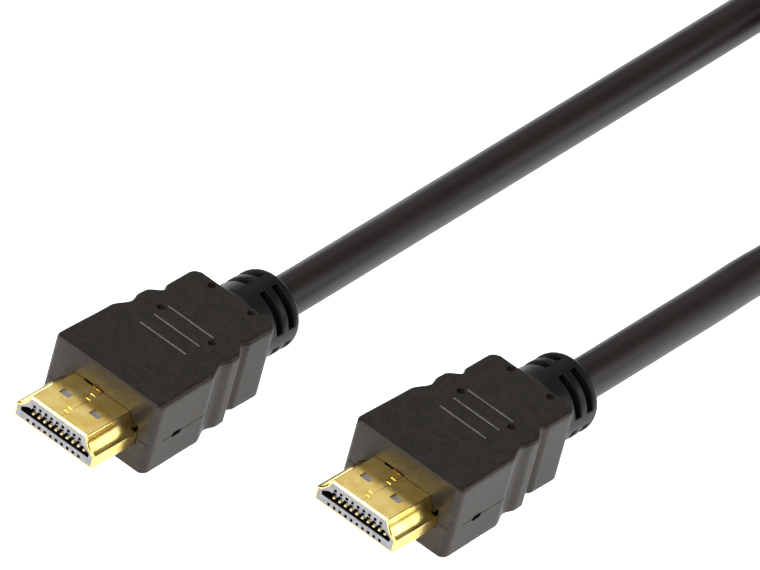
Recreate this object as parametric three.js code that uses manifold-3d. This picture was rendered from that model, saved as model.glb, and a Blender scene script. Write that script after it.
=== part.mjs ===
import * as THREE from "three";
import { mergeVertices } from "three/addons/utils/BufferGeometryUtils.js";
import Module from "manifold-3d";

// HDMI cable: two straight type A plugs on one round cable, lying on a level floor.
// Millimetres. +X runs across the plugs, +Y from their mouths back along the cable, +Z is up.
// The origin is on the floor, midway between the two plugs.
// Inside a plug, y is measured from the tip of its shell and z from the floor.

// Plug shell: a tube of folded sheet, wide side down
const SHELL_WIDTH = 13.9;
const SHELL_HEIGHT = 4.45;
const SHELL_SHEET = 0.3;
const SHELL_SIDE_HEIGHT = 2.2;
const SHELL_TOP_WIDTH = 10.1;
const SHELL_CORNER = 0.45;
const SHARPEST_CORNER = 0.1;
const SHELL_REACH = 8.9;
const SHELL_SEAT = 4.0;
const SHELL_FLOOR = 3.7;
const WINDOW = { x: 2.65, y: 4.65, width: 1.7, length: 1.4 };

// Overmold: the moulded body with its grip waves, and the round strain relief behind it
const BODY_WIDTH = 18.9;
const BODY_HEIGHT = 11.8;
const BODY_REAR = 35.6;
const BODY_EDGE = 0.7;
const FRONT_CORNER = 1.1;
const GRIP_WAVES = [[9.2, 20.1], [8.1, 23.3], [8.55, 25.2], [8.5, 26.4], [7.05, 28.7], [7.5, 30.0], [7.5, 34.4]];
const REAR_CORNER = 6.4;
const RIDGE = { rows: [20.4, 23.25, 26.2], length: 8.1, width: 0.25, height: 0.15 };
const DIMPLE = { radius: 0.58, depth: 0.5, places: [[4.5, 25.2], [3.5, 34.6]] };
const SIDE_SLOT = { y: 14.5, z: 4.8, length: 2.0, height: 0.8, depth: 0.6 };

// Strain relief: round, with two rings of four arc slots
const RELIEF_RADIUS = 5.75;
const RELIEF_RIM = 4.8;
const RELIEF_END = 44.3;
const RELIEF_SLOTS = [39.1, 41.6];
const RELIEF_SLOT_WIDTH = 1.2;
const RELIEF_SLOT_FLOOR = 4.0;
const RELIEF_SLOT_SPAN = 67;
const CABLE_SOCKET = { radius: 3.3, depth: 2.0 };

// Insulator: a block that fills the shell, with the slot that takes the socket's tongue
const INSULATOR_LENGTH = 12.0;
const SLOT_DEPTH = 6.5;
const SLOT = { floor: 1.42, knee: 2.0, ceiling: 2.65, floorHalf: 5.95, kneeHalf: 6.05, ceilingHalf: 4.95 };
const HOLE_SIZE = 0.45;
const HOLE_DEPTH = 1.1;
const LOW_HOLES_Z = 0.68;
const HIGH_HOLES_Z = 3.29;

// Contacts: nineteen spring strips, ten in the slot's floor and nine in its ceiling
const CONTACT_PITCH = 1.0;
const LOW_CONTACTS = 10;
const HIGH_CONTACTS = 9;
const CONTACT_WIDTH = 0.45;
const CONTACT_SHEET = 0.2;
const CONTACT_RISE = 0.35;
const CONTACT_TIP = 1.0;
const CONTACT_CREST = 3.6;
const CONTACT_TAIL = 12.6;
const CHANNEL_WIDTH = 0.65;
const LOW_CHANNEL_Z = 1.05;
const HIGH_CHANNEL_Z = 2.95;

// Clearances between pieces that sit inside one another
const SHELL_FIT = 0.15;
const INSULATOR_FIT = 0.1;
const CONTACT_FIT = 0.1;

// Places of the two plugs: plug b lies to the right of plug a and further back
const PLUG_STEP = { x: 35.5, y: 20.9 };
const PLUG_AXIS_Z = 5.9;
const PLUGS = {
  a: { x: -PLUG_STEP.x / 2, y: -(RELIEF_END + PLUG_STEP.y) / 2 },
  b: { x: PLUG_STEP.x / 2, y: -(RELIEF_END - PLUG_STEP.y) / 2 },
};

// Cable: 6 mm round, 1 m over both plugs; what the two leads don't take is wound into a coil
const CABLE_RADIUS = 3.0;
const CABLE_SIDES = 10;
const COIL = { x: 13.4, y: 149.5, inner: 22.4, outer: 38.8, height: 12.0, segments: 40 };
const LEAD_A = [
  [-17.75, 10.0, 5.9], [-17.93, 20.9, 5.86], [-18.65, 32.9, 5.15], [-19.72, 45.9, 3.95], [-20.52, 58.9, 3.15],
  [-20.92, 72.9, 3.02], [-21.27, 88.9, 3.02], [-21.62, 104.9, 3.02], [-22.15, 127.4, 3.02],
];
const LEAD_B = [
  [17.75, 30.9, 5.9], [17.56, 41.8, 5.86], [16.85, 53.8, 5.1], [15.85, 66.7, 3.9], [15.2, 78, 3.3],
  [15.9, 88.5, 3.3], [19.8, 98.6, 4.7], [28.5, 110.4, 6.85],
];

const wasm = await Module();
wasm.setup();

// Solids for joining and cutting

function toSolid(geometry) {
  const bare = geometry.clone();
  bare.deleteAttribute("normal");
  bare.deleteAttribute("uv");
  const merged = mergeVertices(bare, 1e-5);
  const vertProperties = Float32Array.from(merged.attributes.position.array);
  const triVerts = Uint32Array.from(merged.index.array);
  return new wasm.Manifold(new wasm.Mesh({ numProp: 3, vertProperties, triVerts }));
}

function toGeometry(solid) {
  const mesh = solid.getMesh();
  const geometry = new THREE.BufferGeometry();
  geometry.setAttribute("position", new THREE.BufferAttribute(mesh.vertProperties, 3));
  geometry.setIndex(new THREE.BufferAttribute(mesh.triVerts, 1));
  geometry.computeVertexNormals();
  return geometry;
}

function cutAll(solid, geometries) {
  return geometries.reduce((rest, tool) => rest.subtract(toSolid(tool)), solid);
}

// Shapes

function box(width, length, height, x, y, z) {
  return new THREE.BoxGeometry(width, length, height).translate(x, y, z);
}

// A section drawn in x and z, carried along y
function alongY(shape, from, to, curveSegments = 6) {
  const settings = { depth: to - from, bevelEnabled: false, curveSegments };
  return new THREE.ExtrudeGeometry(shape, settings).rotateX(Math.PI / 2).translate(0, to, 0);
}

function mirrored(rightSide) {
  const leftSide = rightSide.map((point) => new THREE.Vector2(-point.x, point.y)).reverse();
  return [...rightSide, ...leftSide];
}

// Outline of the shell, anticlockwise, set in from its outer face or out where inset is negative
function shellOutline(inset) {
  const half = SHELL_WIDTH / 2 - inset;
  const topHalf = SHELL_TOP_WIDTH / 2 - inset;
  const bottom = SHELL_FLOOR + inset;
  const top = SHELL_FLOOR + SHELL_HEIGHT - inset;
  const side = SHELL_FLOOR + SHELL_SIDE_HEIGHT - 0.7 * inset;
  const corner = Math.max(SHELL_CORNER - inset, SHARPEST_CORNER);
  const path = new THREE.Path();
  path.moveTo(half - corner, bottom);
  path.quadraticCurveTo(half, bottom, half, bottom + corner);
  path.lineTo(half, side);
  path.bezierCurveTo(half - 0.65, side + 0.25, topHalf + 0.5, side + 0.9, topHalf + 0.05, top - corner);
  path.quadraticCurveTo(topHalf, top, topHalf - corner, top);
  return mirrored(path.getPoints(4));
}

function plugOutline(front) {
  const waves = GRIP_WAVES.map(([x, y]) => new THREE.Vector2(x, y));
  const rightSide = [new THREE.Vector2(BODY_WIDTH / 2, front), ...waves, new THREE.Vector2(REAR_CORNER, BODY_REAR)];
  return new THREE.Shape(mirrored(rightSide));
}

// Overmold, one piece with its strain relief

function bodyBlock() {
  const overshoot = 2 * BODY_EDGE;
  const rounded = new THREE.ExtrudeGeometry(plugOutline(SHELL_REACH - overshoot), {
    depth: BODY_HEIGHT - 2 * BODY_EDGE,
    bevelThickness: BODY_EDGE,
    bevelSize: BODY_EDGE,
    bevelOffset: -BODY_EDGE,
    bevelSegments: 3,
  }).translate(0, 0, BODY_EDGE);
  const half = BODY_WIDTH / 2;
  const face = new THREE.Shape();
  face.moveTo(half, BODY_REAR + 1);
  face.lineTo(-half, BODY_REAR + 1);
  face.lineTo(-half, SHELL_REACH + FRONT_CORNER);
  face.absarc(-half + FRONT_CORNER, SHELL_REACH + FRONT_CORNER, FRONT_CORNER, Math.PI, 1.5 * Math.PI, false);
  face.absarc(half - FRONT_CORNER, SHELL_REACH + FRONT_CORNER, FRONT_CORNER, 1.5 * Math.PI, 2 * Math.PI, false);
  const envelope = new THREE.ExtrudeGeometry(face, { depth: BODY_HEIGHT + 2, bevelEnabled: false, curveSegments: 4 });
  return toSolid(rounded).intersect(toSolid(envelope.translate(0, 0, -1)));
}

function reliefBarrel() {
  const socketFloor = RELIEF_END - CABLE_SOCKET.depth;
  const profile = [
    [0, BODY_REAR - 1.5], [RELIEF_RADIUS, BODY_REAR - 1.5], [RELIEF_RADIUS, RELIEF_END - 1.2],
    [RELIEF_RADIUS - 0.35, RELIEF_END - 0.4], [RELIEF_RIM, RELIEF_END], [CABLE_SOCKET.radius, RELIEF_END],
    [CABLE_SOCKET.radius, socketFloor], [0, socketFloor],
  ].map(([radius, y]) => new THREE.Vector2(radius, y));
  return new THREE.LatheGeometry(profile, 40).translate(0, 0, PLUG_AXIS_Z);
}

function reliefSlots() {
  const span = THREE.MathUtils.degToRad(RELIEF_SLOT_SPAN);
  const outer = RELIEF_RADIUS + 0.6;
  const slots = [];
  for (const y of RELIEF_SLOTS) {
    for (let quarter = 0; quarter < 4; quarter += 1) {
      const middle = (quarter + 0.5) * (Math.PI / 2);
      const sector = new THREE.Shape();
      sector.absarc(0, 0, outer, middle - span / 2, middle + span / 2, false);
      sector.absarc(0, 0, RELIEF_SLOT_FLOOR, middle + span / 2, middle - span / 2, true);
      slots.push(alongY(sector, y, y + RELIEF_SLOT_WIDTH).translate(0, 0, PLUG_AXIS_Z));
    }
  }
  return slots;
}

function gripRidges() {
  const height = RIDGE.height + BODY_EDGE;
  const middle = BODY_HEIGHT + RIDGE.height - height / 2;
  return RIDGE.rows.map((y) => box(RIDGE.length, RIDGE.width, height, 0, y, middle));
}

function dimples() {
  const places = DIMPLE.places.flatMap(([x, y]) => [[x, y], [-x, y]]);
  return places.map(([x, y]) => new THREE.CylinderGeometry(DIMPLE.radius, DIMPLE.radius, 2 * DIMPLE.depth, 12)
    .rotateX(Math.PI / 2).translate(x, y, BODY_HEIGHT));
}

function sideSlots() {
  const reach = (SIDE_SLOT.length - SIDE_SLOT.height) / 2;
  const radius = SIDE_SLOT.height / 2;
  const oval = new THREE.Shape();
  oval.absarc(reach, 0, radius, -Math.PI / 2, Math.PI / 2, false);
  oval.absarc(-reach, 0, radius, Math.PI / 2, 1.5 * Math.PI, false);
  const settings = { depth: 2 * SIDE_SLOT.depth, bevelEnabled: false, curveSegments: 4 };
  return [-1, 1].map((side) => new THREE.ExtrudeGeometry(oval, settings)
    .translate(0, 0, -SIDE_SLOT.depth)
    .rotateX(Math.PI / 2).rotateZ(Math.PI / 2)
    .translate(side * BODY_WIDTH / 2, SIDE_SLOT.y, SIDE_SLOT.z));
}

function overmold() {
  const pocketShape = new THREE.Shape(shellOutline(-SHELL_FIT));
  const pocket = alongY(pocketShape, SHELL_REACH - 1, SHELL_REACH + SHELL_SEAT + SHELL_FIT + 1);
  const body = [reliefBarrel(), ...gripRidges()].reduce((solid, piece) => solid.add(toSolid(piece)), bodyBlock());
  return toGeometry(cutAll(body, [pocket, ...reliefSlots(), ...dimples(), ...sideSlots()]));
}

// Shell: folded sheet, open at both ends, with two latch windows in its narrow side

function shell() {
  const tube = new THREE.Shape(shellOutline(0));
  tube.holes.push(new THREE.Path(shellOutline(SHELL_SHEET)));
  const top = SHELL_FLOOR + SHELL_HEIGHT;
  const windows = [-1, 1].map((side) => box(WINDOW.width, WINDOW.length, 1, side * WINDOW.x, WINDOW.y, top));
  return toGeometry(cutAll(toSolid(alongY(tube, 0, SHELL_REACH + SHELL_SEAT)), windows));
}

// Insulator and contacts

// Places of a row's contacts across the plug
function rowPlaces(count) {
  return Array.from({ length: count }, (_, i) => (i - (count - 1) / 2) * CONTACT_PITCH);
}

function tongueSlot() {
  const points = [
    [SLOT.floorHalf, SLOT.floor], [SLOT.kneeHalf, SLOT.knee], [SLOT.ceilingHalf, SLOT.ceiling],
  ].map(([x, z]) => new THREE.Vector2(x, SHELL_FLOOR + z));
  return alongY(new THREE.Shape(mirrored(points)), -1, SLOT_DEPTH);
}

function insulator() {
  const outline = new THREE.Shape(shellOutline(SHELL_SHEET + INSULATOR_FIT));
  const block = toSolid(alongY(outline, 0, INSULATOR_LENGTH));
  const channelLength = INSULATOR_LENGTH + 2;
  const lowHeight = SLOT.floor + 0.2 - LOW_CHANNEL_Z;
  const highHeight = HIGH_CHANNEL_Z - SLOT.ceiling + 0.2;
  const lowStart = CONTACT_TIP - CONTACT_FIT;
  const cuts = [tongueSlot()];
  for (const x of rowPlaces(LOW_CONTACTS)) {
    const z = SHELL_FLOOR + LOW_CHANNEL_Z + lowHeight / 2;
    cuts.push(box(CHANNEL_WIDTH, channelLength, lowHeight, x, lowStart + channelLength / 2, z));
    cuts.push(box(HOLE_SIZE, 2 * HOLE_DEPTH, HOLE_SIZE, x, 0, SHELL_FLOOR + LOW_HOLES_Z));
  }
  for (const x of rowPlaces(HIGH_CONTACTS)) {
    const z = SHELL_FLOOR + HIGH_CHANNEL_Z - highHeight / 2;
    cuts.push(box(CHANNEL_WIDTH, channelLength + 2, highHeight, x, channelLength / 2 - 1, z));
    cuts.push(box(HOLE_SIZE, 2 * HOLE_DEPTH, HOLE_SIZE, x, 0, SHELL_FLOOR + HIGH_HOLES_Z));
  }
  return toGeometry(cutAll(block, cuts));
}

// A strip that rises to its crest inside the slot, seen from the side; way is 1 for up, -1 for down
function contact(x, seat, way) {
  const heights = [
    [CONTACT_TIP, 0.1], [CONTACT_TIP + 0.4, 0.16], [CONTACT_CREST, CONTACT_RISE],
    [CONTACT_CREST + 1.2, 0.2], [SLOT_DEPTH, 0], [CONTACT_TAIL, 0],
  ];
  const back = [...heights].reverse();
  const edge = ([y, rise], sheet) => new THREE.Vector2(y, seat + way * (CONTACT_FIT + rise + sheet));
  const side = new THREE.Shape([...heights.map((p) => edge(p, 0)), ...back.map((p) => edge(p, CONTACT_SHEET))]);
  return new THREE.ExtrudeGeometry(side, { depth: CONTACT_WIDTH, bevelEnabled: false })
    .rotateX(Math.PI / 2).rotateZ(Math.PI / 2)
    .translate(x - CONTACT_WIDTH / 2, 0, 0);
}

// Cable

function tubeAlong(route) {
  const points = route.map(([x, y, z]) => new THREE.Vector3(x, y, z));
  const path = new THREE.CatmullRomCurve3(points);
  const corners = Array.from({ length: CABLE_SIDES }, (_, i) => {
    const angle = (i / CABLE_SIDES) * 2 * Math.PI;
    return new THREE.Vector2(CABLE_RADIUS * Math.cos(angle), CABLE_RADIUS * Math.sin(angle));
  });
  const steps = Math.round(path.getLength() / (4 * CABLE_RADIUS));
  return new THREE.ExtrudeGeometry(new THREE.Shape(corners), { steps, extrudePath: path });
}

function coilRing() {
  const bottom = new THREE.Vector2(COIL.inner, 0);
  const profile = [
    bottom, new THREE.Vector2(COIL.outer, 0), new THREE.Vector2(COIL.outer, COIL.height),
    new THREE.Vector2(COIL.inner, COIL.height), bottom,
  ];
  return new THREE.LatheGeometry(profile, COIL.segments).rotateX(Math.PI / 2).translate(COIL.x, COIL.y, 0);
}

// Materials

function finish(color, roughness, metalness) {
  return new THREE.MeshStandardMaterial({ color, roughness, metalness });
}

function named(name, geometry, material) {
  const mesh = new THREE.Mesh(geometry, material);
  mesh.name = name;
  return mesh;
}

function plug(letter) {
  const place = PLUGS[letter];
  const pieces = new THREE.Group();
  pieces.position.set(place.x, place.y, 0);
  pieces.add(named(`plug_${letter}_overmold`, overmold(), finish(0x262322, 0.55, 0)));
  pieces.add(named(`plug_${letter}_shell`, shell(), finish(0xd4a843, 0.25, 1)));
  pieces.add(named(`plug_${letter}_insulator`, insulator(), finish(0xb4b6bd, 0.5, 0)));
  rowPlaces(LOW_CONTACTS).forEach((x, i) => {
    const strip = contact(x, SHELL_FLOOR + LOW_CHANNEL_Z, 1);
    pieces.add(named(`plug_${letter}_contact_low_${i + 1}`, strip, finish(0xe0b653, 0.3, 1)));
  });
  rowPlaces(HIGH_CONTACTS).forEach((x, i) => {
    const strip = contact(x, SHELL_FLOOR + HIGH_CHANNEL_Z, -1);
    pieces.add(named(`plug_${letter}_contact_high_${i + 1}`, strip, finish(0xe0b653, 0.3, 1)));
  });
  return pieces;
}

const group = new THREE.Group();
group.add(plug("a"), plug("b"));
group.add(named("cable_lead_a", tubeAlong(LEAD_A), finish(0x2a2423, 0.4, 0)));
group.add(named("cable_lead_b", tubeAlong(LEAD_B), finish(0x2a2423, 0.4, 0)));
group.add(named("cable_coil", coilRing(), finish(0x2a2423, 0.4, 0)));

export default group;
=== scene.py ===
"""HDMI cable: two type A plugs on one round cable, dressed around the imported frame.

Lengths are in millimetres inside the classes and in metres in Blender. A plug's own x runs
across it from its middle, y runs back from the tip of its shell and z up from the floor.
"""

import logging
import math
from collections.abc import Callable, Sequence
from dataclasses import dataclass, field
from enum import Enum

import bmesh
import bpy
from mathutils import Matrix, Vector


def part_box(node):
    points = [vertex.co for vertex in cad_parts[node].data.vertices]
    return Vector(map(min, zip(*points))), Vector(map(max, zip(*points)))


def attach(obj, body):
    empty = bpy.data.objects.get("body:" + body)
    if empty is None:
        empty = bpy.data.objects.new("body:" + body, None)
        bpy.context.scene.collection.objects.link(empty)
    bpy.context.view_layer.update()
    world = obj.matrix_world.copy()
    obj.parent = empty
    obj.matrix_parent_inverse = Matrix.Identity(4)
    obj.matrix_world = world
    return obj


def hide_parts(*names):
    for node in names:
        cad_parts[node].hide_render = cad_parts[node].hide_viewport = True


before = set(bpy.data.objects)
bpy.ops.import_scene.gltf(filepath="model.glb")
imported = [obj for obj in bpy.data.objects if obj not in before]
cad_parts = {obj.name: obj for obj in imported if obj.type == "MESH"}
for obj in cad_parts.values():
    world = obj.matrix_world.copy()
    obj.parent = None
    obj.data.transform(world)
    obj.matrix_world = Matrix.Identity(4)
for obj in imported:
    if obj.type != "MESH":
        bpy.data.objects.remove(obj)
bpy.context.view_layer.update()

LOG = logging.getLogger("hdmi_cable")
MM = 0.001
ROOT = "root"

BMesh = bmesh.types.BMesh
Material = bpy.types.Material
Object = bpy.types.Object
Outline = list[tuple[float, float]]
Pairs = tuple[tuple[float, float], ...]
Triple = tuple[float, float, float]


class Axis(Enum):
    """The plug axis that an outline is carried along."""

    X = 0
    Y = 1
    Z = 2


class Row(Enum):
    """A row of contacts in a plug."""

    LOW = "low"
    HIGH = "high"


class Socket:
    """A shader value that takes part in arithmetic, which adds Math nodes to its graph."""

    def __init__(self, graph: "Graph", link: bpy.types.NodeSocket) -> None:
        """Wrap one output socket of graph."""
        self.graph = graph
        self.link = link

    def __add__(self, other: "Socket | float") -> "Socket":
        """Sum of the two values."""
        return self.graph.math("ADD", self, other)

    def __radd__(self, other: float) -> "Socket":
        """Sum of the two values."""
        return self.graph.math("ADD", other, self)

    def __mul__(self, other: "Socket | float") -> "Socket":
        """Product of the two values."""
        return self.graph.math("MULTIPLY", self, other)

    def __rmul__(self, other: float) -> "Socket":
        """Product of the two values."""
        return self.graph.math("MULTIPLY", other, self)


class Graph:
    """One node tree that ends in one shader."""

    def __init__(self, owner: bpy.types.ID, shader: str, output: str) -> None:
        """Start an empty tree.

        Args:
            owner: the material or world that it belongs to.
            shader: the type of the shader at its end.
            output: the type of its output node.
        """
        self.owner = owner
        owner.use_nodes = True
        self.tree = owner.node_tree
        self.tree.nodes.clear()
        self.shader = self.tree.nodes.new(shader)
        ending = self.tree.nodes.new(output)
        self.tree.links.new(self.shader.outputs[0], ending.inputs["Surface"])

    @classmethod
    def of_material(cls, name: str) -> "Graph":
        """An empty material with a Principled shader."""
        return cls(bpy.data.materials.new(name), "ShaderNodeBsdfPrincipled", "ShaderNodeOutputMaterial")

    @classmethod
    def of_world(cls, name: str) -> "Graph":
        """An empty world with a Background shader."""
        return cls(bpy.data.worlds.new(name), "ShaderNodeBackground", "ShaderNodeOutputWorld")

    def node(
        self,
        kind: str,
        settings: dict[str, object] | None = None,
        inputs: dict[str | int, object] | None = None,
        output: str | int = 0,
    ) -> Socket:
        """Add a node.

        Args:
            kind: the node's type.
            settings: its properties, such as an operation, and "stops" for a ramp.
            inputs: values or sockets by input name or number.
            output: the output to hand back.

        Returns:
            The chosen output.
        """
        new = self.tree.nodes.new(kind)
        for key, value in (settings or {}).items():
            if key == "stops":
                self._set_stops(new.color_ramp, value)
            else:
                setattr(new, key, value)
        for key, value in (inputs or {}).items():
            self.feed(new.inputs[key], value)
        return Socket(self, new.outputs[output])

    @staticmethod
    def _set_stops(ramp: bpy.types.ColorRamp, stops: Sequence[tuple[float, tuple]]) -> None:
        """Give a ramp its stops, each a place and a colour.

        Args:
            ramp: the colour ramp.
            stops: its stops, from low to high.
        """
        while len(ramp.elements) < len(stops):
            ramp.elements.new(0.5)
        for element, (place, color) in zip(ramp.elements, stops):
            element.position = place
            element.color = (*color, 1.0)

    def feed(self, socket: bpy.types.NodeSocket, value: object) -> None:
        """Link a Socket to an input, or set the input's own value.

        Args:
            socket: the input.
            value: a Socket, or a plain value.
        """
        if isinstance(value, Socket):
            self.tree.links.new(value.link, socket)
        else:
            socket.default_value = value

    def math(self, operation: str, a: Socket | float, b: Socket | float = 0.0) -> Socket:
        """Add a Math node and hand back its value."""
        return self.node("ShaderNodeMath", {"operation": operation}, {0: a, 1: b})

    def place(self) -> Socket:
        """The point's place in the row frame, in metres."""
        return self.node("ShaderNodeTexCoord", output="Object")

    def stretched(self, x: float, y: float, z: float) -> Socket:
        """The point's place, multiplied along each axis."""
        inputs = {0: self.place(), 1: (x, y, z)}
        return self.node("ShaderNodeVectorMath", {"operation": "MULTIPLY"}, inputs)

    def grain(self, size: float, detail: float = 2.0, where: Socket | None = None) -> Socket:
        """Noise between 0 and 1.

        Args:
            size: the size of its patches, in millimetres.
            detail: how many finer layers it has.
            where: the coordinate, the point's place when left out.

        Returns:
            The noise's value.
        """
        inputs = {"Vector": where or self.place(), "Scale": 1.0 / (size * MM), "Detail": detail}
        return self.node("ShaderNodeTexNoise", {}, inputs)

    def ramp(self, value: Socket, *stops: tuple[float, tuple]) -> Socket:
        """A colour from a value."""
        return self.node("ShaderNodeValToRGB", {"stops": stops}, {"Fac": value}, "Color")

    def spread(self, value: Socket, low: float, high: float) -> Socket:
        """Bring a value that runs from 0 to 1 to the range low to high."""
        return value * (high - low) + low

    def bump(self, height: Socket, depth: float, over: Socket | None = None) -> Socket:
        """A bumped normal.

        Args:
            height: the relief, between 0 and 1.
            depth: what a height of 1 is, in millimetres.
            over: a normal that it is laid over.

        Returns:
            The normal.
        """
        inputs: dict[str | int, object] = {"Height": height, "Distance": depth * MM, "Strength": 1.0}
        if over is not None:
            inputs["Normal"] = over
        return self.node("ShaderNodeBump", {}, inputs)

    def finish(self, **sockets: object) -> bpy.types.ID:
        """Feed the shader and hand back the tree's owner.

        Args:
            **sockets: values by the shader's input name, with _ for a space.

        Returns:
            The finished material or world.
        """
        for key, value in sockets.items():
            self.feed(self.shader.inputs[key.replace("_", " ")], value)
        return self.owner


@dataclass(frozen=True)
class GoldPlate:
    """Bright gold plating over stamped sheet, with faint drawing marks along its length."""

    name: str = "gold_plate"
    pale: Triple = (1.0, 0.77, 0.27)
    deep: Triple = (0.84, 0.58, 0.14)
    smoothest: float = 0.13
    roughest: float = 0.27
    dent_depth: float = 0.035

    def make(self) -> Material:
        """Build the material.

        Returns:
            The material.
        """
        graph = Graph.of_material(self.name)
        streaks = graph.grain(1.0, 3.0, graph.stretched(6.0, 0.5, 6.0))
        clouds = graph.grain(2.2, 4.0)
        color = graph.ramp(clouds, (0.34, self.deep), (0.62, self.pale))
        rough = graph.spread(streaks * 0.6 + clouds * 0.4, self.smoothest, self.roughest)
        fine = graph.bump(graph.grain(0.12, 2.0), 0.001)
        normal = graph.bump(clouds, self.dent_depth, fine)
        return graph.finish(Base_Color=color, Metallic=1.0, Roughness=rough, Normal=normal)


@dataclass(frozen=True)
class MouldedPlastic:
    """Near-black moulded plastic with a fine spark-eroded grain."""

    name: str
    dark: Triple
    light: Triple
    specular: float
    smoothest: float
    roughest: float
    tint: Triple = (1.0, 0.95, 0.88)
    grain_size: float = 0.30
    grain_depth: float = 0.022

    def make(self) -> Material:
        """Build the material.

        Returns:
            The material.
        """
        graph = Graph.of_material(self.name)
        patches = graph.grain(1.4, 5.0)
        pits = graph.grain(self.grain_size, 3.0)
        color = graph.ramp(patches * 0.4 + pits * 0.6, (0.38, self.dark), (0.62, self.light))
        rough = graph.spread(patches, self.smoothest, self.roughest)
        normal = graph.bump(pits, self.grain_depth)
        return graph.finish(
            Base_Color=color, Roughness=rough, Normal=normal, Specular_IOR_Level=self.specular,
            Specular_Tint=(*self.tint, 1.0),
        )


BODY_PLASTIC = MouldedPlastic(
    "moulded_black", (0.0050, 0.0040, 0.0032), (0.0240, 0.0190, 0.0150), 0.42, 0.40, 0.52
)
# Lighter plastic for the three ridges: a painted highlight that stands in for the light their rounded tops
# catch.
RIDGE_HIGHLIGHT_PLASTIC = MouldedPlastic(
    "ridge_worn", (0.060, 0.057, 0.054), (0.150, 0.144, 0.138), 0.5, 0.34, 0.46
)
RELIEF_PLASTIC = MouldedPlastic(
    "relief_black", (0.0042, 0.0042, 0.0046), (0.0074, 0.0072, 0.0076), 0.22, 0.36, 0.46
)
# Near-black paint for the faces inside the insulator's slot, holes and channels: painted shade that stands in
# for the shadow deep in them, where the insulator is really grey.
SLOT_SHADE_PLASTIC = MouldedPlastic(
    "slot_painted_shade", (0.0020, 0.0020, 0.0024), (0.0040, 0.0040, 0.0044), 0.15, 0.60, 0.70
)


@dataclass(frozen=True)
class InsulatorPlastic:
    """Cool light grey moulded plastic."""

    name: str = "insulator_grey"
    dark: Triple = (0.23, 0.23, 0.245)
    light: Triple = (0.33, 0.33, 0.345)

    def make(self) -> Material:
        """Build the material.

        Returns:
            The material.
        """
        graph = Graph.of_material(self.name)
        clouds = graph.grain(0.8, 4.0)
        color = graph.ramp(clouds, (0.35, self.dark), (0.65, self.light))
        normal = graph.bump(graph.grain(0.09, 2.0), 0.003)
        rough = graph.spread(clouds, 0.42, 0.58)
        return graph.finish(Base_Color=color, Roughness=rough, Normal=normal)


@dataclass(frozen=True)
class ContactPlate:
    """Pale gold flash on the contact strips."""

    name: str = "contact_plate"
    pale: Triple = (1.0, 0.88, 0.55)
    deep: Triple = (0.92, 0.74, 0.36)
    metallic: float = 0.45

    def make(self) -> Material:
        """Build the material.

        Returns:
            The material.
        """
        graph = Graph.of_material(self.name)
        clouds = graph.grain(0.6, 3.0)
        color = graph.ramp(clouds, (0.35, self.deep), (0.65, self.pale))
        rough = graph.spread(clouds, 0.40, 0.55)
        return graph.finish(Base_Color=color, Metallic=self.metallic, Roughness=rough)


@dataclass(frozen=True)
class CableJacket:
    """Satin brown-black extruded jacket, faintly lumpy over the wires inside."""

    name: str = "cable_jacket"
    dark: Triple = (0.0090, 0.0062, 0.0052)
    light: Triple = (0.0200, 0.0132, 0.0108)

    def make(self) -> Material:
        """Build the material.

        Returns:
            The material.
        """
        graph = Graph.of_material(self.name)
        lumps = graph.grain(4.5, 2.0)
        pits = graph.grain(0.22, 3.0)
        color = graph.ramp(pits * 0.7 + lumps * 0.3, (0.36, self.dark), (0.64, self.light))
        rough = graph.spread(lumps, 0.36, 0.48)
        fine = graph.bump(pits, 0.006)
        normal = graph.bump(lumps, 0.04, fine)
        return graph.finish(Base_Color=color, Roughness=rough, Normal=normal, Specular_IOR_Level=0.36)


@dataclass(frozen=True)
class GlowingFloor:
    """The studio's white floor, which gives light of its own so that shadows stay faint."""

    name: str = "studio_floor"
    color: Triple = (0.80, 0.80, 0.80)
    glow: float = 1.2

    def make(self) -> Material:
        """Build the material.

        Returns:
            The material.
        """
        graph = Graph.of_material(self.name)
        rough = graph.spread(graph.grain(40.0, 2.0), 0.85, 0.95)
        return graph.finish(
            Base_Color=(*self.color, 1.0), Roughness=rough, Emission_Color=(1.0, 1.0, 1.0, 1.0),
            Emission_Strength=self.glow,
        )


@dataclass(frozen=True)
class Finishes:
    """Every material, made once."""

    gold: Material
    contact: Material
    plastic: Material
    ridge: Material
    relief: Material
    hollow: Material
    insulator: Material
    jacket: Material
    floor: Material

    @classmethod
    def make(cls) -> "Finishes":
        """Build all the materials.

        Returns:
            The finishes.
        """
        return cls(
            gold=GoldPlate().make(), contact=ContactPlate().make(), plastic=BODY_PLASTIC.make(),
            ridge=RIDGE_HIGHLIGHT_PLASTIC.make(), relief=RELIEF_PLASTIC.make(), hollow=SLOT_SHADE_PLASTIC.make(),
            insulator=InsulatorPlastic().make(), jacket=CableJacket().make(), floor=GlowingFloor().make(),
        )


def arc(cx: float, cy: float, radius: float, start: float, end: float, steps: int) -> Outline:
    """Points on an arc.

    Args:
        cx: first coordinate of its centre.
        cy: second coordinate of its centre.
        radius: its radius.
        start: its first angle, in degrees.
        end: its last angle, in degrees.
        steps: how many pieces it is cut into.

    Returns:
        The points, both ends among them.
    """
    angles = [math.radians(start + (end - start) * i / steps) for i in range(steps + 1)]
    return [(cx + radius * math.cos(a), cy + radius * math.sin(a)) for a in angles]


def bezier(a: tuple, b: tuple, c: tuple, d: tuple, steps: int) -> Outline:
    """Points on a cubic curve from a to d, drawn towards b and c.

    Args:
        a: where it starts.
        b: the point that it leaves towards.
        c: the point that it arrives from.
        d: where it ends.
        steps: how many pieces it is cut into.

    Returns:
        The points, both ends among them.
    """
    points = []
    for i in range(steps + 1):
        t = i / steps
        weights = ((1 - t) ** 3, 3 * t * (1 - t) ** 2, 3 * t * t * (1 - t), t**3)
        points.append(tuple(sum(w * p[k] for w, p in zip(weights, (a, b, c, d))) for k in (0, 1)))
    return points


def mirrored(right: Outline) -> Outline:
    """A closed outline from its right half, given from bottom to top."""
    return right + [(-x, y) for x, y in reversed(right)]


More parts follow.
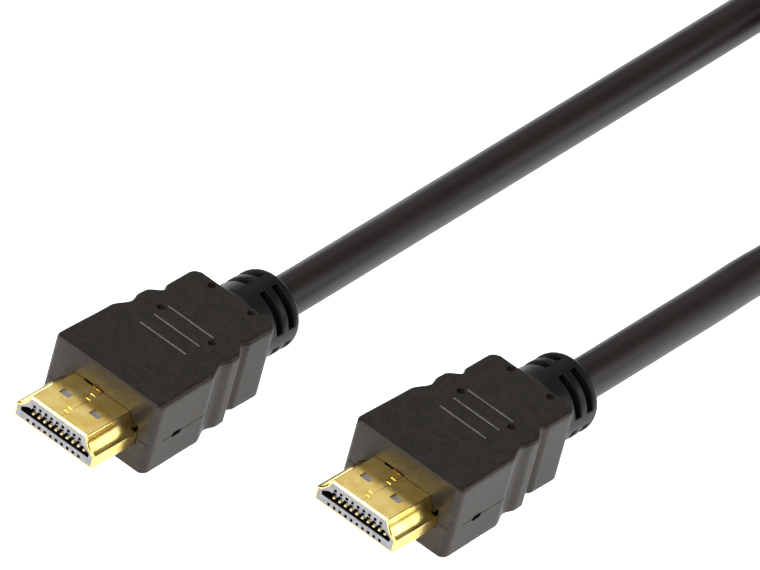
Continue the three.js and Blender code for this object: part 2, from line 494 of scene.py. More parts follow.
def smooth_step(t: float) -> float:
    """A step from 0 to 1 that starts and ends level."""
    t = min(max(t, 0.0), 1.0)
    return t * t * (3 - 2 * t)


class Carver:
    """Makes closed meshes in one plug's own millimetres, and cuts and joins them."""

    @staticmethod
    def to_object(bm: BMesh, name: str) -> Object:
        """Turn a bmesh into an object in the scene and free it.

        Args:
            bm: the bodies, which are used up.
            name: the object's name.

        Returns:
            The object.
        """
        bmesh.ops.remove_doubles(bm, verts=bm.verts[:], dist=1e-5)
        bmesh.ops.recalc_face_normals(bm, faces=bm.faces[:])
        mesh = bpy.data.meshes.new(name)
        bm.to_mesh(mesh)
        bm.free()
        piece = bpy.data.objects.new(name, mesh)
        bpy.context.collection.objects.link(piece)
        return piece

    @staticmethod
    def skin(bm: BMesh, rings: Sequence[Sequence[Vector]]) -> list[list[bmesh.types.BMVert]]:
        """Join rings of points into a closed body with flat ends.

        Args:
            bm: the mesh that it is added to.
            rings: the rings, each with as many points as the next.

        Returns:
            The new vertices, ring by ring.
        """
        made = [[bm.verts.new(point) for point in ring] for ring in rings]
        count = len(made[0])
        for near, far in zip(made, made[1:]):
            for i in range(count):
                j = (i + 1) % count
                bm.faces.new((near[i], near[j], far[j], far[i]))
        bm.faces.new(made[0])
        bm.faces.new(made[-1])
        return made

    @classmethod
    def prism(cls, bm: BMesh, outline: Outline, axis: Axis, start: float, end: float) -> None:
        """Add an outline carried straight along an axis.

        Args:
            bm: the mesh that it is added to.
            outline: its points, in the other two axes in X, Y, Z order.
            axis: the axis that it is carried along.
            start: where it starts on that axis.
            end: where it ends.
        """
        rings = []
        for place in (start, end):
            ring = []
            for u, v in outline:
                values = [u, v]
                values.insert(axis.value, place)
                ring.append(Vector(values))
            rings.append(ring)
        cls.skin(bm, rings)

    @classmethod
    def block(cls, bm: BMesh, low: Sequence[float], high: Sequence[float]) -> None:
        """Add a box between two corners."""
        outline = [(low[0], low[1]), (high[0], low[1]), (high[0], high[1]), (low[0], high[1])]
        cls.prism(bm, outline, Axis.Z, low[2], high[2])

    @classmethod
    def combine(cls, target: Object, tool: BMesh, operation: str) -> None:
        """Cut a tool out of a target, or join it on.

        Args:
            target: the object that changes.
            tool: closed bodies, which are used up.
            operation: DIFFERENCE or UNION.
        """
        cutter = cls.to_object(tool, "cutter")
        cls.change(target, "BOOLEAN", operation=operation, solver="MANIFOLD", object=cutter)
        bpy.data.objects.remove(cutter)

    @staticmethod
    def change(piece: Object, kind: str, **settings: object) -> None:
        """Run one modifier on a piece and keep what it makes.

        Args:
            piece: the object that changes.
            kind: the modifier's type.
            **settings: its properties.
        """
        step = piece.modifiers.new(kind, kind)
        for key, value in settings.items():
            setattr(step, key, value)
        graph = bpy.context.evaluated_depsgraph_get()
        mesh = bpy.data.meshes.new_from_object(piece.evaluated_get(graph))
        piece.modifiers.clear()
        piece.data = mesh

    @classmethod
    def soften(cls, piece: Object, width: float, segments: int, angle: float = 40.0) -> None:
        """Round a piece's sharp edges.

        Args:
            piece: the object, in its plug's millimetres.
            width: the rounding's width.
            segments: how many faces it takes.
            angle: how far two faces turn before their edge counts as sharp, in degrees.
        """
        cls.change(
            piece, "BEVEL", width=width, segments=segments, limit_method="ANGLE",
            angle_limit=math.radians(angle), use_clamp_overlap=True, miter_outer="MITER_ARC",
        )

    @classmethod
    def even(cls, piece: Object) -> None:
        """Let a piece's large faces shade flat beside their small bevels."""
        cls.change(piece, "WEIGHTED_NORMAL", keep_sharp=True, weight=100)


@dataclass(frozen=True)
class PlugPlace:
    """Where one plug lies in the row frame."""

    letter: str
    x: float
    y: float
    floor: float

    @classmethod
    def from_frame(cls, letter: str) -> "PlugPlace":
        """Take a plug's place from its packed shell and overmold.

        Args:
            letter: the plug's letter.

        Returns:
            Its place.
        """
        low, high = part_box(f"plug_{letter}_shell")
        under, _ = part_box(f"plug_{letter}_overmold")
        return cls(letter, (low.x + high.x) / 2 / MM, low.y / MM, under.z / MM)

    def node(self, part: str) -> str:
        """The name of this plug's CAD node for a part."""
        return f"plug_{self.letter}_{part}"

    def settle(self, piece: Object, part: str, finish: Material, slot: str, crease: float = 30.0) -> Object:
        """Bring a piece into the row frame and let it stand for its CAD node.

        Args:
            piece: the object, in the plug's own millimetres.
            part: the node's name without the plug's.
            finish: its material.
            slot: a material slot's name, not used.
            crease: how far two faces turn before their edge shows, in degrees.

        Returns:
            The same object.
        """
        place = Matrix.Scale(MM, 4) @ Matrix.Translation((self.x, self.y, self.floor))
        piece.data.transform(place)
        piece.data.shade_smooth()
        piece.data.set_sharp_from_angle(angle=math.radians(crease))
        piece.data.materials.clear()
        piece.data.materials.append(finish)
        piece.name = f"{self.node(part)}_dressed"
        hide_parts(self.node(part))
        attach(piece, ROOT)
        LOG.info("%s: %d faces", piece.name, len(piece.data.polygons))
        return piece

    def paint(self, piece: Object, finish: Material, chosen: Callable[[Vector], bool]) -> None:
        """Give some of a settled piece's faces a further finish.

        Args:
            piece: the settled object.
            finish: the material of those faces.
            chosen: whether a face is one of them, from its middle in the plug's millimetres.
        """
        piece.data.materials.append(finish)
        origin = Vector((self.x, self.y, self.floor))
        for face in piece.data.polygons:
            if chosen(face.center / MM - origin):
                face.material_index = len(piece.data.materials) - 1


@dataclass(frozen=True)
class ShellSection:
    """Section of the folded shell, wide side down."""

    width: float = 13.9
    height: float = 4.45
    side: float = 2.2
    top_width: float = 10.1
    corner: float = 0.3
    sharpest: float = 0.1
    floor: float = 3.7

    @property
    def top(self) -> float:
        """Height of the narrow side's outer face."""
        return self.floor + self.height

    def outline(self, inset: float, steps: int = 8) -> Outline:
        """The section's outline.

        Args:
            inset: how far in from the outer face it lies, or out where it is negative.
            steps: how many pieces each bend is cut into.

        Returns:
            Its points in x and z, anticlockwise.
        """
        half = self.width / 2 - inset
        top_half = self.top_width / 2 - inset
        bottom = self.floor + inset
        top = self.top - inset
        side = self.floor + self.side - 0.7 * inset
        corner = max(self.corner - inset, self.sharpest)
        bend = 0.12
        right = arc(half - corner, bottom + corner, corner, -90, 0, steps)
        right += bezier(
            (half, side - bend), (half, side), (half, side), (half - bend, side + 0.4 * bend), steps // 2
        )
        right += bezier(
            (half - bend, side + 0.4 * bend), (half - 0.65, side + 0.25),
            (top_half + 0.5, side + 0.9), (top_half + 0.05, top - corner), 2 * steps,
        )[1:]
        right += bezier(
            (top_half + 0.05, top - corner), (top_half - 0.02, top - 0.3 * corner),
            (top_half - 0.3 * corner, top), (top_half - corner, top), steps,
        )[1:]
        return mirrored(right)


@dataclass
class Shell:
    """The gold-plated shell of one plug, folded from sheet with a dovetailed seam."""

    place: PlugPlace
    section: ShellSection
    sheet: float = 0.3
    length: float = 12.9
    reach: float = 8.9
    window_x: float = 2.65
    window_y: float = 4.65
    window_width: float = 1.7
    window_length: float = 1.4
    window_round: float = 0.18
    notch_low: Triple = (-1.6, -0.34, -0.16)
    notch_high: Triple = (0.05, -0.06, 1.0)
    edge_round: float = 0.05
    chamfer: float = 0.16
    seam_width: float = 0.12
    seam_depth: float = 0.09
    seam: Pairs = (
        (0.15, -1.0), (0.15, 1.7), (-0.58, 1.7), (-0.58, 2.6), (0.15, 2.6), (0.15, 6.15),
        (-0.58, 6.15), (-0.58, 7.3), (0.15, 7.3), (0.15, 9.5),
    )

    def build(self, gold: Material) -> Object:
        """Make the shell and dress it.

        Args:
            gold: its plating.

        Returns:
            The dressed shell.
        """
        tube = bmesh.new()
        stations = (self.chamfer, 0.0), (0.0, self.chamfer), (0.0, self.length)
        rings = [[Vector((x, y, z)) for x, z in self.section.outline(inset)] for inset, y in stations]
        Carver.skin(tube, rings)
        piece = Carver.to_object(tube, "shell")
        Carver.combine(piece, self._inside(), "DIFFERENCE")
        Carver.combine(piece, self._windows(), "DIFFERENCE")
        Carver.soften(piece, self.edge_round, 2)
        Carver.combine(piece, self._seam(), "DIFFERENCE")
        self.place.settle(piece, "shell", gold, "shell", 25.0)
        Carver.even(piece)
        return piece

    def _inside(self) -> BMesh:
        """The space inside the sheet."""
        tool = bmesh.new()
        Carver.prism(tool, self.section.outline(self.sheet), Axis.Y, -1.0, self.length + 1.0)
        return tool

    def _windows(self) -> BMesh:
        """The two latch windows, and the relief cut where the narrow side enters the overmold."""
        tool = bmesh.new()
        radius = self.window_round
        half_x = self.window_width / 2 - radius
        half_y = self.window_length / 2 - radius
        for side in (-1, 1):
            outline: Outline = []
            for sx, sy, start in ((1, 1, 0), (-1, 1, 90), (-1, -1, 180), (1, -1, 270)):
                cx = side * self.window_x + sx * half_x
                outline += arc(cx, self.window_y + sy * half_y, radius, start, start + 90, 4)
            Carver.prism(tool, outline, Axis.Z, self.section.top - 1.0, self.section.top + 1.0)
        entry = (0.0, self.reach, self.section.top)
        low, high = ([a + b for a, b in zip(entry, way)] for way in (self.notch_low, self.notch_high))
        Carver.block(tool, low, high)
        return tool

    def _seam(self) -> BMesh:
        """The groove of the seam, one joined outline cut into the narrow side."""
        half = self.seam_width / 2
        sides: tuple[Outline, Outline] = ([], [])
        for i, (x, y) in enumerate(self.seam):
            before = self.seam[max(i - 1, 0)]
            after = self.seam[min(i + 1, len(self.seam) - 1)]
            into = Vector((x - before[0], y - before[1]))
            out = Vector((after[0] - x, after[1] - y))
            normals = [Vector((-d.y, d.x)).normalized() for d in (into, out) if d.length > 0]
            mitre = sum(normals, Vector((0.0, 0.0)))
            mitre *= len(normals) / mitre.length_squared
            for side, sign in zip(sides, (-1, 1)):
                side.append((x + sign * half * mitre.x, y + sign * half * mitre.y))
        tool = bmesh.new()
        outline = sides[0] + sides[1][::-1]
        Carver.prism(tool, outline, Axis.Z, self.section.top - self.seam_depth, self.section.top + 1.0)
        return tool


@dataclass
class Overmold:
    """The moulded body of one plug with its grip waves and its round, slotted strain relief."""

    place: PlugPlace
    section: ShellSection
    front: float = 8.9
    half_height: float = 5.9
    top_edge: float = 0.65
    bottom_edge: float = 0.35
    front_corner: float = 1.1
    front_edge: float = 0.15
    waves: Pairs = (
        (8.9, 9.45), (20.0, 9.2), (23.3, 8.1), (25.2, 8.55), (26.4, 8.5), (28.7, 7.05), (30.0, 7.5),
        (35.6, 7.5),
    )
    rear: float = 35.6
    rear_corner: float = 1.2
    relief_start: float = 36.2
    relief_radius: float = 5.75
    relief_rim: float = 4.8
    relief_end: float = 44.3
    slot_rows: tuple[float, float] = (39.1, 41.6)
    slot_width: float = 1.2
    slot_floor: float = 4.0
    slot_round: float = 0.2
    rib_steps: int = 3
    socket_radius: float = 3.05
    socket_depth: float = 2.0
    pocket_gap: float = 0.05
    pocket_depth: float = 4.15
    per_side: int = 6
    per_corner: int = 6
    per_top: int = 12
    ridge_rows: Triple = (20.4, 23.25, 26.2)
    ridge_half: float = 4.05
    ridge_width: float = 0.40
    ridge_height: float = 0.14
    ridge_root: float = 0.1
    dimples: Pairs = ((4.5, 25.2), (3.5, 34.6))
    dimple_radius: float = 0.58
    dimple_depth: float = 0.5
    dimple_taper: float = 0.8
    side_slot: tuple[float, float] = (14.5, 4.8)
    side_slot_reach: float = 0.6
    side_slot_radius: float = 0.4
    side_slot_depth: float = 0.6
    parting: float = 4.85
    parting_runs: Pairs = ((11.4, 13.6), (15.4, 22.8))
    parting_half: float = 0.06
    parting_depth: float = 0.18
    parting_fade: float = 0.13
    front_line: tuple[float, float] = (7.4, 9.0)
    front_line_depth: float = 0.1
    beyond: float = 10.5
    top_gap: tuple[float, float, float, float] = (-3.2, -1.6, -0.1, 0.22)
    shoulder_gap: tuple[float, float, float, float] = (6.35, 6.85, 0.15, 0.95)
    gap_depth: float = 0.7

    @property
    def quarter(self) -> int:
        """How many steps a quarter of a ring has."""
        return self.per_side + self.per_corner + self.per_top

    def half_width_at(self, y: float) -> float:
        """Half the body's width at a distance from the shell's tip.

        Args:
            y: the distance.

        Returns:
            Half the width.
        """
        width = self.waves[0][1]
        for (y0, w0), (y1, w1) in zip(self.waves, self.waves[1:]):
            if y >= y0:
                width = w0 + (w1 - w0) * smooth_step((y - y0) / (y1 - y0))
        into_front = self.front + self.front_corner - y
        into_rear = y - (self.rear - self.rear_corner)
        for into, corner in ((into_front, self.front_corner), (into_rear, self.rear_corner)):
            if into > 0:
                width -= corner - math.sqrt(max(corner**2 - into**2, 0.0))
        return width

    def half_height_at(self, y: float) -> float:
        """Half the body's height at a distance from the shell's tip.

        Args:
            y: the distance.

        Returns:
            Half the height.
        """
        from_front = y - self.front
        if from_front < self.front_edge:
            rest = self.front_edge - from_front
            return self.half_height - self.front_edge + math.sqrt(self.front_edge**2 - rest**2)
        return self.half_height

    def body_ring(self, y: float) -> list[Vector]:
        """One ring around the body, from the middle of its right side, anticlockwise."""
        w, h = self.half_width_at(y), self.half_height_at(y)
        return self._around(self._corner(w, h, self.top_edge), self._corner(w, h, self.bottom_edge), y)

    def round_ring(self, y: float, radius: float) -> list[Vector]:
        """One round ring, with as many points as the body's."""
        first = arc(0, 0, radius, 0, 90, self.quarter)
        return self._around(first, first, y)

    def _corner(self, w: float, h: float, r: float) -> Outline:
        """A quarter of the body's section, from its side to its middle, with a corner of radius r.

        Args:
            w: half the width.
            h: half the height.
            r: the corner's radius.

        Returns:
            Its points.
        """
        side = [(w, (h - r) * i / self.per_side) for i in range(self.per_side)]
        level = [((w - r) * (1 - i / self.per_top), h) for i in range(self.per_top + 1)]
        return side + arc(w - r, h - r, r, 0, 90, self.per_corner)[:-1] + level

    def _around(self, upper: Outline, lower: Outline, y: float) -> list[Vector]:
        """A full ring from its upper and its lower quarter.

        Args:
            upper: the quarter above the middle.
            lower: the quarter below it, given as if above.
            y: the distance from the shell's tip.

        Returns:
            Its points, anticlockwise.
        """
        whole = upper[:-1] + [(-u, v) for u, v in upper[:0:-1]]
        whole += [(-u, -v) for u, v in lower[:-1]] + [(u, -v) for u, v in lower[:0:-1]]
        return [Vector((u, y, v + self.half_height)) for u, v in whole]

    def rings(self) -> list[list[Vector]]:
        """Every ring from the front face to the cable's socket.

        Returns:
            The rings, front to back.
        """
        fronts = [self.front + step for step in (0.0, 0.02, 0.06, 0.1, 0.15, 0.3, 0.5, 0.75, 1.0, 1.3)]
        waved = [19.2 + 0.2 * i for i in range(56)]
        rears = [self.rear - step for step in (3.6, 1.8, 1.2, 0.9, 0.6, 0.3, 0.05)]
        rings = [self.body_ring(y) for y in (*fronts, 13.0, 16.0, 18.5, *waved, *rears)]
        return rings + self._fillet(rings[-1]) + self._barrel()

    def _fillet(self, body: list[Vector]) -> list[list[Vector]]:
        """Rings that lead from the body's last one to the round relief.

        Args:
            body: the body's last ring.

        Returns:
            The rings.
        """
        barrel = self.round_ring(self.relief_start, self.relief_radius)
        rings = []
        for turn in (22.5, 45.0, 67.5, 90.0):
            across, along = math.sin(math.radians(turn)), 1 - math.cos(math.radians(turn))
            ring = [a.lerp(b, across) for a, b in zip(body, barrel)]
            for point in ring:
                point.y = body[0].y + (self.relief_start - body[0].y) * along
            rings.append(ring)
        return rings

    def _barrel(self) -> list[list[Vector]]:
        """Rings along the relief, round its end and into the cable's socket."""
        places = [(y + step, self.relief_radius) for y in self.slot_rows for step in (0.0, self.slot_width)]
        rounding = self.relief_radius - self.relief_rim
        start = self.relief_end - rounding
        places += [(start + b, self.relief_rim + a) for a, b in arc(0, 0, rounding, 0, 80, 5)]
        places += [
            (self.relief_end, self.relief_rim - 0.1), (self.relief_end, self.socket_radius + 0.25),
            (self.relief_end - 0.25, self.socket_radius),
            (self.relief_end - self.socket_depth, self.socket_radius),
        ]
        return [self.round_ring(y, radius) for y, radius in places]

    def _sink_slots(self, bm: BMesh) -> None:
        """Push the slots of the strain relief into its surface and round their rims.

        Args:
            bm: the overmold's mesh.
        """
        step = 90 / self.quarter
        chosen = []
        for face in bm.faces:
            middle = face.calc_center_median()
            radius = math.hypot(middle.x, middle.z - self.half_height)
            if radius < self.relief_radius - 0.2:
                continue
            if not any(y < middle.y < y + self.slot_width for y in self.slot_rows):
                continue
            turn = math.degrees(math.atan2(middle.z - self.half_height, middle.x)) % 90
            if self.rib_steps * step < turn < 90 - self.rib_steps * step:
                chosen.append(face)
        picked = set(chosen)
        rims = [e for e in bm.edges if sum(f in picked for f in e.link_faces) == 1]
        made = bmesh.ops.extrude_face_region(bm, geom=chosen)
        bmesh.ops.delete(bm, geom=chosen, context="FACES_ONLY")
        for vert in (v for v in made["geom"] if isinstance(v, bmesh.types.BMVert)):
            out = Vector((vert.co.x, 0.0, vert.co.z - self.half_height)).normalized()
            vert.co = Vector((0, vert.co.y, self.half_height)) + out * self.slot_floor
        bmesh.ops.bevel(
            bm, geom=rims, offset=self.slot_round, segments=3, affect="EDGES", profile=0.5, clamp_overlap=True
        )

    def _hollows(self) -> BMesh:
        """The pocket for the shell, the dimples and the side slots."""
        tool = bmesh.new()
        pocket_end = self.front + self.pocket_depth
        Carver.prism(tool, self.section.outline(-self.pocket_gap), Axis.Y, self.front - 1, pocket_end)
        self._add_dimples(tool)
        y, z = self.side_slot
        reach, radius = self.side_slot_reach, self.side_slot_radius
        oval = arc(y + reach, z, radius, -90, 90, 8) + arc(y - reach, z, radius, 90, 270, 8)
        for side in (-1, 1):
            wall = self.half_width_at(y)
            near, far = sorted((side * (wall - self.side_slot_depth), side * (wall + 1)))
            Carver.prism(tool, oval, Axis.X, near, far)
        return tool

    def _add_dimples(self, tool: BMesh) -> None:
        """Add the round pits in the body's top to a cutting tool.

        Args:
            tool: the tool.
        """
        top = 2 * self.half_height
        narrow = self.dimple_taper * self.dimple_radius
        stations = (0.5, self.dimple_radius), (0.0, self.dimple_radius), (-self.dimple_depth, narrow)
        for x, y in self.dimples:
            for centre in (-x, x):
                rings = []
                for z, radius in stations:
                    circle = arc(centre, y, radius, 0, 348.75, 31)
                    rings.append([Vector((u, v, top + z)) for u, v in circle])
                Carver.skin(tool, rings)

    def _shell_gaps(self) -> BMesh:
        """The two dark gaps in the front face, over the shell and at its right shoulder."""
        tool = bmesh.new()
        top = self.section.top
        shoulder = self.section.floor + self.section.side
        for level, gap in ((top, self.top_gap), (shoulder, self.shoulder_gap)):
            left, right, low, high = gap
            near = (left, self.front - 1, level + low)
            Carver.block(tool, near, (right, self.front + self.gap_depth, level + high))
        return tool

    def _parting_line(self) -> BMesh:
        """The fine line where the two halves of the mould meet, deepest near the side slots."""
        tool = bmesh.new()
        low, high = self.parting - self.parting_half, self.parting + self.parting_half
        for side in (-1, 1):
            for start, end in self.parting_runs:
                stations = [start + (end - start) * i / 24 for i in range(25)]
                line = []
                for y in stations:
                    away = smooth_step((abs(y - self.side_slot[0]) - 1) / 7)
                    depth = self.parting_depth - self.parting_fade * away
                    line.append((side * (self.half_width_at(y) - depth), y))
                line += [(side * self.beyond, end), (side * self.beyond, start)]
                Carver.prism(tool, line, Axis.Z, low, high)
            near, far = sorted(side * x for x in self.front_line)
            deep = self.front + self.front_line_depth
            Carver.block(tool, (near, self.front - 1, low), (far, deep, high))
        return tool

    def _ridges(self) -> BMesh:
        """The three thin raised lines across the grip."""
        tool = bmesh.new()
        half = self.ridge_width / 2
        base = 2 * self.half_height - self.ridge_root
        swell = (self.ridge_height + self.ridge_root) / half
        for y in self.ridge_rows:
            outline = [(v, base + z * swell) for v, z in arc(y, 0.0, half, 0, 180, 8)]
            root = base - 2 * self.ridge_root
            outline += [(y - half, root), (y + half, root)]
            Carver.prism(tool, outline, Axis.X, -self.ridge_half, self.ridge_half)
        return tool

    def build(self, finishes: Finishes) -> Object:
        """Make the overmold and dress it.

        Args:
            finishes: the materials.

        Returns:
            The dressed overmold.
        """
        bm = bmesh.new()
        Carver.skin(bm, self.rings())
        bmesh.ops.recalc_face_normals(bm, faces=bm.faces[:])
        self._sink_slots(bm)
        piece = Carver.to_object(bm, "overmold")
        for tool in (self._hollows(), self._shell_gaps(), self._parting_line()):
            Carver.combine(piece, tool, "DIFFERENCE")
        Carver.combine(piece, self._ridges(), "UNION")
        self.place.settle(piece, "overmold", finishes.plastic, "overmold", 32.0)
        self.place.paint(piece, finishes.relief, lambda middle: middle.y > self.relief_start)
        # The ridges' faces get the lighter plastic, a painted highlight.
        self.place.paint(piece, finishes.ridge, lambda middle: middle.z > 2 * self.half_height + 0.02)
        return piece


@dataclass
class Insulator:
    """The grey block inside one shell, with its tongue slot, its holes and its channels."""

    place: PlugPlace
    section: ShellSection
    inset: float = 0.31
    length: float = 12.0
    face_depth: float = 0.06
    hollow_heights: tuple[float, float] = (0.35, 3.7)
    slot_depth: float = 6.5
    slot_points: Pairs = ((5.95, 1.42), (6.05, 2.0), (4.95, 2.65))
    pitch: float = 1.0
    hole: float = 0.45
    hole_depth: float = 1.1
    hole_rows: dict[Row, float] = field(default_factory=lambda: {Row.LOW: 0.68, Row.HIGH: 3.29})
    channel: float = 0.65
    low_channel: Triple = (0.6, 0.88, 1.62)
    high_channel: Triple = (-1.0, 2.4, 2.95)
    counts: dict[Row, int] = field(default_factory=lambda: {Row.LOW: 10, Row.HIGH: 9})
    edge_round: float = 0.035

    def places(self, row: Row) -> list[float]:
        """Where a row's contacts lie across the plug."""
        count = self.counts[row]
        return [(i - (count - 1) / 2) * self.pitch for i in range(count)]

    def is_hollow(self, middle: Vector) -> bool:
        """Whether a face lies inside the slot, a hole or a channel, the faces that get painted shade."""
        height = middle.z - self.section.floor
        return middle.y > self.face_depth and self.hollow_heights[0] < height < self.hollow_heights[1]

    def build(self, finishes: Finishes) -> Object:
        """Make the insulator and dress it.

        Args:
            finishes: the materials.

        Returns:
            The dressed insulator.
        """
        block = bmesh.new()
        Carver.prism(block, self.section.outline(self.inset), Axis.Y, 0.0, self.length)
        piece = Carver.to_object(block, "insulator")
        floor = self.section.floor
        slot = bmesh.new()
        outline = mirrored([(x, floor + z) for x, z in self.slot_points])
        Carver.prism(slot, outline, Axis.Y, -1.0, self.slot_depth)
        Carver.combine(piece, slot, "DIFFERENCE")
        cuts = bmesh.new()
        for row, channel in ((Row.LOW, self.low_channel), (Row.HIGH, self.high_channel)):
            start, low, high = channel
            middle = floor + self.hole_rows[row]
            for x in self.places(row):
                half = self.channel / 2
                Carver.block(cuts, (x - half, start, floor + low), (x + half, self.length + 1, floor + high))
                half = self.hole / 2
                near = (x - half, -1.0, middle - half)
                Carver.block(cuts, near, (x + half, self.hole_depth, middle + half))
        Carver.combine(piece, cuts, "DIFFERENCE")
        Carver.soften(piece, self.edge_round, 1)
        self.place.settle(piece, "insulator", finishes.insulator, "insulator")
        # Faces inside the slot, holes and channels are painted near-black: painted shade.
        self.place.paint(piece, finishes.hollow, self.is_hollow)
        return piece


@dataclass
class ContactSet:
    """The nineteen spring strips of one plug."""

    place: PlugPlace
    insulator: Insulator
    width: float = 0.48
    sheet: float = 0.2
    edge_round: float = 0.07
    seats: dict[Row, float] = field(default_factory=lambda: {Row.LOW: 0.98, Row.HIGH: 2.85})
    rises: Pairs = (
        (0.78, 0.0), (0.92, 0.15), (1.25, 0.27), (2.4, 0.32), (3.6, 0.35), (4.8, 0.2), (6.5, 0.0),
        (12.6, 0.0),
    )

    def build(self, gold: Material) -> list[Object]:
        """Make every strip and dress it.

        Args:
            gold: their plating.

        Returns:
            The dressed strips.
        """
        pieces = []
        for row in Row:
            way = 1 if row is Row.LOW else -1
            seat = self.insulator.section.floor + self.seats[row]
            for i, x in enumerate(self.insulator.places(row)):
                strip = bmesh.new()
                under = [(y, seat + way * rise) for y, rise in self.rises]
                over = [(y, seat + way * (rise + self.sheet)) for y, rise in reversed(self.rises)]
                Carver.prism(strip, under + over, Axis.X, x - self.width / 2, x + self.width / 2)
                piece = Carver.to_object(strip, "contact")
                Carver.soften(piece, self.edge_round, 2)
                part = f"contact_{row.value}_{i + 1}"
                pieces.append(self.place.settle(piece, part, gold, "contact", 50.0))
        return pieces


@dataclass
class Cable:
    """The round cable: a lead from each plug, and the rest of it wound in a coil."""

    diameter: float = 6.0
    length: float = 930.0
    coil_x: float = 13.4
    coil_y: float = 149.5
    turns: float = 3.625
    per_turn: int = 24
    innermost: float = 24.5
    pitch: float = 6.2
    softening: float = 0.15
    layer: float = 3.02
    layer_step: float = 6.0
    climb: float = 0.55
    lead_a: tuple[Triple, ...] = (
        (-17.75, 10.0, 5.9), (-17.93, 20.9, 5.86), (-18.65, 32.9, 5.15), (-19.72, 45.9, 3.95),
        (-20.52, 58.9, 3.15), (-20.92, 72.9, 3.02), (-21.27, 88.9, 3.02), (-21.62, 104.9, 3.02),
        (-22.15, 127.4, 3.02),
    )
    lead_b: tuple[Triple, ...] = (
        (17.75, 30.9, 5.9), (17.56, 41.8, 5.86), (16.85, 53.8, 5.1), (15.85, 66.7, 3.9), (15.2, 78, 3.3),
        (15.9, 88.5, 3.3), (19.8, 98.6, 4.7), (28.5, 110.4, 6.85),
    )

    def coil(self) -> list[Triple]:
        """The coil's turns, clockwise from above: inwards on the floor, then outwards on top.

        Returns:
            Points along their middle.
        """
        points = []
        for i in range(round(self.turns * self.per_turn) + 1):
            turn = i / self.per_turn
            from_middle = turn - self.turns / 2
            radius = self.innermost + self.pitch * math.hypot(from_middle, self.softening)
            height = self.layer + self.layer_step * smooth_step(from_middle / self.climb + 0.5)
            across = self.coil_x - radius * math.cos(math.tau * turn)
            along = self.coil_y + radius * math.sin(math.tau * turn)
            points.append((across, along, height))
        return points

    def route(self) -> list[Vector]:
        """The whole route in metres, from plug a round the coil to plug b."""
        points = [*self.lead_a, *self.coil(), *reversed(self.lead_b)]
        return [Vector(point) * MM for point in points]

    def build(self, jacket: Material) -> Object:
        """Make the cable and dress it.

        Args:
            jacket: its material.

        Returns:
            The dressed cable.
        """
        route = self.route()
        line = bpy.data.curves.new("cable", "CURVE")
        line.dimensions = "3D"
        line.resolution_u = 3
        line.bevel_depth = self.diameter / 2 * MM
        line.bevel_resolution = 9
        line.use_fill_caps = True
        spline = line.splines.new("BEZIER")
        spline.bezier_points.add(len(route) - 1)
        for knot, place in zip(spline.bezier_points, route):
            knot.co = place
            knot.handle_left_type = knot.handle_right_type = "AUTO"
        line.materials.append(jacket)
        piece = bpy.data.objects.new("cable", line)
        bpy.context.collection.objects.link(piece)
        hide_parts("cable_lead_a", "cable_lead_b", "cable_coil")
        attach(piece, ROOT)
        LOG.info("cable: %d points on its route", len(route))
        return piece


@dataclass
class PhotoCamera:
    """A long-lens camera at the photograph's viewing angle."""

    azimuth: float = 30.7
    elevation: float = 37.2
    roll: float = 15.49
    pixels_per_mm: float = 7.48
    image_width: float = 760.0
    lens: float = 1100.0
    sensor: float = 36.0
    target: Triple = (-13.29, 30.69, 3.7)

    def build(self) -> Object:
        """Place the camera and make it the scene's.

        Returns:
            The camera.
        """
        view_width = self.image_width / self.pixels_per_mm
        distance = view_width * self.lens / self.sensor * MM
        a, e = math.radians(self.azimuth), math.radians(self.elevation)
        back = Vector((math.sin(a) * math.cos(e), -math.cos(a) * math.cos(e), math.sin(e)))
        lens = bpy.data.cameras.new("photo_camera")
        lens.lens = self.lens
        lens.sensor_width = self.sensor
        lens.clip_start = 0.1
        lens.clip_end = 3 * distance
        camera = bpy.data.objects.new("photo_camera", lens)
        bpy.context.collection.objects.link(camera)
        roll = Matrix.Rotation(math.radians(self.roll), 4, "Z")
        turn = back.to_track_quat("Z", "Y").to_matrix().to_4x4() @ roll
        camera.matrix_world = Matrix.Translation(Vector(self.target) * MM + back * distance) @ turn
        bpy.context.scene.camera = camera
        return camera


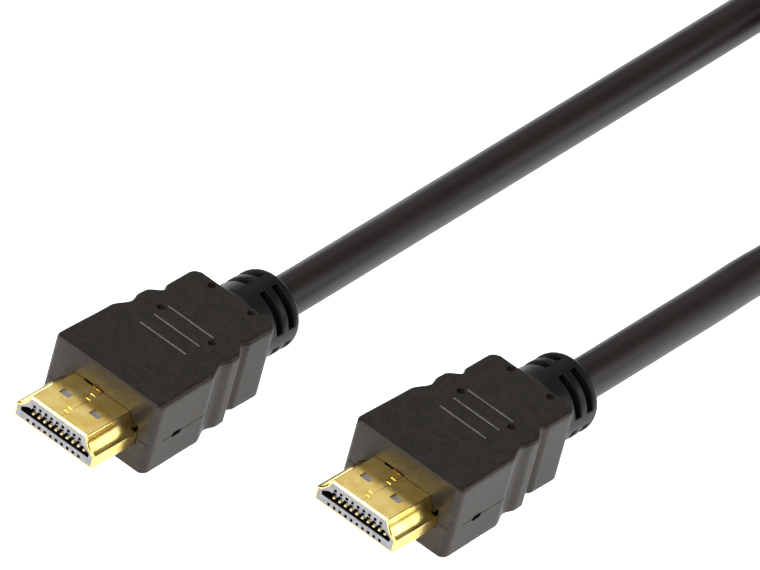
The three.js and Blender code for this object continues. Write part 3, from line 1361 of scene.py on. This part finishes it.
@dataclass
class Studio:
    """A bright floor under a dim sky, with soft lamps in front and behind on both sides."""

    floor_size: float = 6.0
    sky: Pairs = ((0.0, 0.25), (0.3, 0.3), (0.6, 0.25), (1.0, 0.15))
    lamps: tuple[tuple[str, Triple, float, float], ...] = (
        ("key", (0.50, -0.95, 0.80), 0.5, 4.0),
        ("fill", (-0.45, -0.68, 0.76), 0.4, 7.0),
        ("slope", (0.85, 0.75, 0.48), 0.6, 3.0),
        ("plate", (-0.50, 0.86, 0.755), 0.42, 0.32),
    )

    def build(self, floor: Material) -> None:
        """Lay the floor, set the sky and hang the lamps.

        Args:
            floor: the floor's material.
        """
        sheet = bmesh.new()
        bmesh.ops.create_grid(sheet, x_segments=4, y_segments=4, size=self.floor_size / 2)
        mesh = bpy.data.meshes.new("floor")
        sheet.to_mesh(mesh)
        sheet.free()
        mesh.materials.append(floor)
        ground = bpy.data.objects.new("floor", mesh)
        bpy.context.collection.objects.link(ground)
        self._hang_sky()
        for name, place, size, power in self.lamps:
            self._hang_lamp(name, place, size, power)
        bpy.context.scene.view_settings.view_transform = "Standard"

    def _hang_sky(self) -> None:
        """Make the sky's light depend on the height above the horizon."""
        graph = Graph.of_world("studio_sky")
        direction = graph.node("ShaderNodeTexCoord", output="Generated")
        height = graph.node("ShaderNodeSeparateXYZ", {}, {0: direction}, "Z")
        stops = [(place, (light, light, light)) for place, light in self.sky]
        bpy.context.scene.world = graph.finish(Color=graph.ramp(height, *stops))

    @staticmethod
    def _hang_lamp(name: str, place: Triple, size: float, power: float) -> None:
        """Hang one square soft lamp that points at the object.

        Args:
            name: its name.
            place: where it hangs, in metres.
            size: its side, in metres.
            power: its power, in watts.
        """
        light = bpy.data.lights.new(name, "AREA")
        light.size = size
        light.energy = power
        lamp = bpy.data.objects.new(name, light)
        lamp.location = place
        lamp.rotation_euler = Vector(place).to_track_quat("Z", "Y").to_euler()
        bpy.context.collection.objects.link(lamp)


def main() -> None:
    """Build the camera, the cable, both plugs and the studio."""
    logging.basicConfig(level=logging.INFO, format="%(name)s %(message)s")
    finishes = Finishes.make()
    PhotoCamera().build()
    Cable().build(finishes.jacket)
    section = ShellSection()
    for letter in ("a", "b"):
        place = PlugPlace.from_frame(letter)
        Overmold(place, section).build(finishes)
        Shell(place, section).build(finishes.gold)
        insulator = Insulator(place, section)
        insulator.build(finishes)
        ContactSet(place, insulator).build(finishes.contact)
    Studio().build(finishes.floor)


if __name__ == "__main__":
    main()
